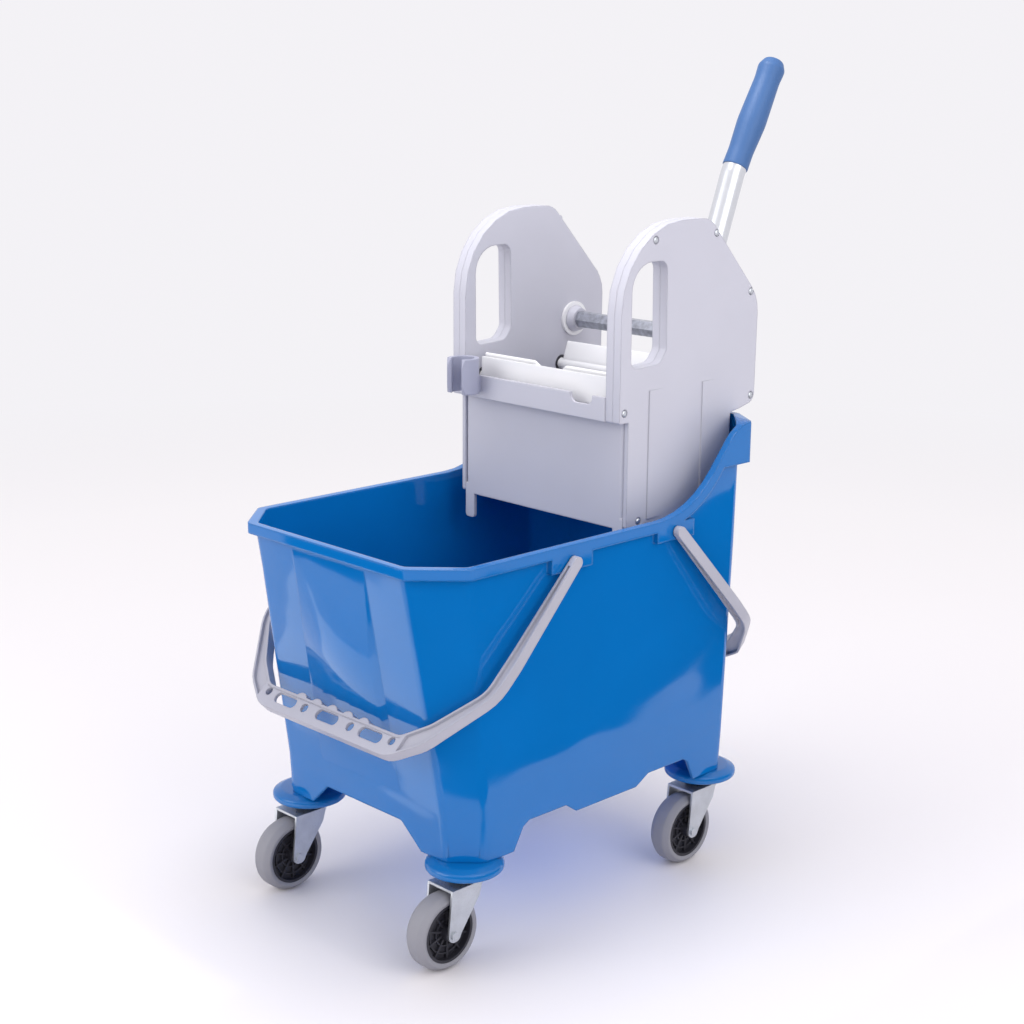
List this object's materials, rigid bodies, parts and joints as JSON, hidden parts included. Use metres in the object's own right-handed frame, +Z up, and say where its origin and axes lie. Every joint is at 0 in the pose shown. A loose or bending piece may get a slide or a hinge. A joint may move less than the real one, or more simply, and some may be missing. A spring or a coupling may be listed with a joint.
{
  "type": "mop bucket with wringer",
  "caption": "Mop bucket on swivel castors with a geared down-press wringer, press plates, side lever with hand grip and carrying bails.",
  "frame": {"origin": "on the floor, under the middle of the overall box", "axes": "+X to the lever side across the width, -Y towards the pouring end, +Z up"},
  "size_m": [0.3674, 0.6144, 0.8953],
  "materials": {
    "bucket_blue": "glossy",
    "bumper_blue": "satin",
    "dark_steel": "matt",
    "zinc": "bright zinc",
    "tyre_grey": "matt rubber",
    "hub_black": "matt",
    "bail_grey": "satin",
    "wringer_grey": "satin",
    "clip_grey": "satin",
    "white_plastic": "satin",
    "tube_aluminium": "satin anodised",
    "grip_blue": "satin"
  },
  "bodies": {
    "bucket": {"bucket": "bucket_blue", "bumper_front_left": "bumper_blue", "bumper_front_right": "bumper_blue", "bumper_rear_left": "bumper_blue", "bumper_rear_right": "bumper_blue", "castor_stem_front_left": "dark_steel", "castor_stem_front_right": "dark_steel", "castor_stem_rear_left": "dark_steel", "castor_stem_rear_right": "dark_steel", "bail_pins": "zinc"},
    "castor_front_left": {"fork_front_left": "zinc", "axle_front_left": "zinc"},
    "wheel_front_left": {"tyre_front_left": "tyre_grey", "hub_front_left": "hub_black"},
    "castor_front_right": {"fork_front_right": "zinc", "axle_front_right": "zinc"},
    "wheel_front_right": {"tyre_front_right": "tyre_grey", "hub_front_right": "hub_black"},
    "castor_rear_left": {"fork_rear_left": "zinc", "axle_rear_left": "zinc"},
    "wheel_rear_left": {"tyre_rear_left": "tyre_grey", "hub_rear_left": "hub_black"},
    "castor_rear_right": {"fork_rear_right": "zinc", "axle_rear_right": "zinc"},
    "wheel_rear_right": {"tyre_rear_right": "tyre_grey", "hub_rear_right": "hub_black"},
    "front_bail": {"front_bail": "bail_grey"},
    "rear_bail": {"rear_bail": "bail_grey"},
    "wringer": {"inner_housing_left": "wringer_grey", "inner_housing_right": "wringer_grey", "outer_cover_left": "wringer_grey", "outer_cover_right": "wringer_grey", "cover_screws": "zinc", "front_crossbar": "wringer_grey", "front_panel": "wringer_grey", "rear_panel": "wringer_grey", "drain_grid": "wringer_grey", "mop_clip": "clip_grey", "hinge_bushes": "hub_black", "shaft_bush_left": "white_plastic", "shaft_bush_right": "white_plastic"},
    "front_jaw": {"front_plate": "white_plastic", "front_sector_left": "zinc", "front_sector_right": "zinc"},
    "rear_jaw": {"rear_plate": "white_plastic", "rear_sector_left": "zinc", "rear_sector_right": "zinc"},
    "lever": {"lever_shaft": "zinc", "shaft_collars": "wringer_grey", "pinion_left": "zinc", "pinion_right": "zinc", "lever_socket": "zinc", "socket_bolt": "zinc", "lever_tube": "tube_aluminium", "hand_grip": "grip_blue"}
  },
  "joints": [
    {"name": "swivel_front_left", "type": "hinge", "parent": "bucket", "child": "castor_front_left", "pos_m": [-0.126, -0.2234, 0.0832], "axis": [0, 0, 1], "continuous": true},
    {"name": "roll_front_left", "type": "hinge", "parent": "castor_front_left", "child": "wheel_front_left", "pos_m": [-0.126, -0.2544, 0.04], "axis": [1, 0, 0], "continuous": true},
    {"name": "swivel_front_right", "type": "hinge", "parent": "bucket", "child": "castor_front_right", "pos_m": [0.126, -0.2234, 0.0832], "axis": [0, 0, 1], "continuous": true},
    {"name": "roll_front_right", "type": "hinge", "parent": "castor_front_right", "child": "wheel_front_right", "pos_m": [0.126, -0.2544, 0.04], "axis": [1, 0, 0], "continuous": true},
    {"name": "swivel_rear_left", "type": "hinge", "parent": "bucket", "child": "castor_rear_left", "pos_m": [-0.126, 0.1436, 0.0832], "axis": [0, 0, 1], "continuous": true},
    {"name": "roll_rear_left", "type": "hinge", "parent": "castor_rear_left", "child": "wheel_rear_left", "pos_m": [-0.126, 0.1126, 0.04], "axis": [1, 0, 0], "continuous": true},
    {"name": "swivel_rear_right", "type": "hinge", "parent": "bucket", "child": "castor_rear_right", "pos_m": [0.126, 0.1436, 0.0832], "axis": [0, 0, 1], "continuous": true},
    {"name": "roll_rear_right", "type": "hinge", "parent": "castor_rear_right", "child": "wheel_rear_right", "pos_m": [0.126, 0.1126, 0.04], "axis": [1, 0, 0], "continuous": true},
    {"name": "front_bail_lift", "type": "hinge", "parent": "bucket", "child": "front_bail", "pos_m": [0, -0.1159, 0.4062], "axis": [-1, 0, 0], "range_deg": [0, 140]},
    {"name": "rear_bail_lift", "type": "hinge", "parent": "bucket", "child": "rear_bail", "pos_m": [0, 0.0411, 0.4097], "axis": [1, 0, 0], "range_deg": [0, 72]},
    {"name": "wringer_lift_off", "type": "slide", "parent": "bucket", "child": "wringer", "axis": [0, 0, 1], "range_m": [0, 0.18]},
    {"name": "lever_press", "type": "hinge", "parent": "wringer", "child": "lever", "pos_m": [0, 0.16609, 0.59522], "axis": [1, 0, 0], "range_deg": [0, 112]},
    {"name": "rear_jaw_swing", "type": "hinge", "parent": "wringer", "child": "rear_jaw", "pos_m": [0, 0.1471, 0.5436], "axis": [1, 0, 0], "range_deg": [-31.27, 0]},
    {"name": "front_jaw_swing", "type": "hinge", "parent": "wringer", "child": "front_jaw", "pos_m": [0, 0.0211, 0.5436], "axis": [1, 0, 0], "range_deg": [0, 31.27]}
  ],
  "couplings": [
    {"joint": "rear_jaw_swing", "follows": "lever_press", "ratio": -0.27907},
    {"joint": "front_jaw_swing", "follows": "lever_press", "ratio": 0.27907}
  ]
}
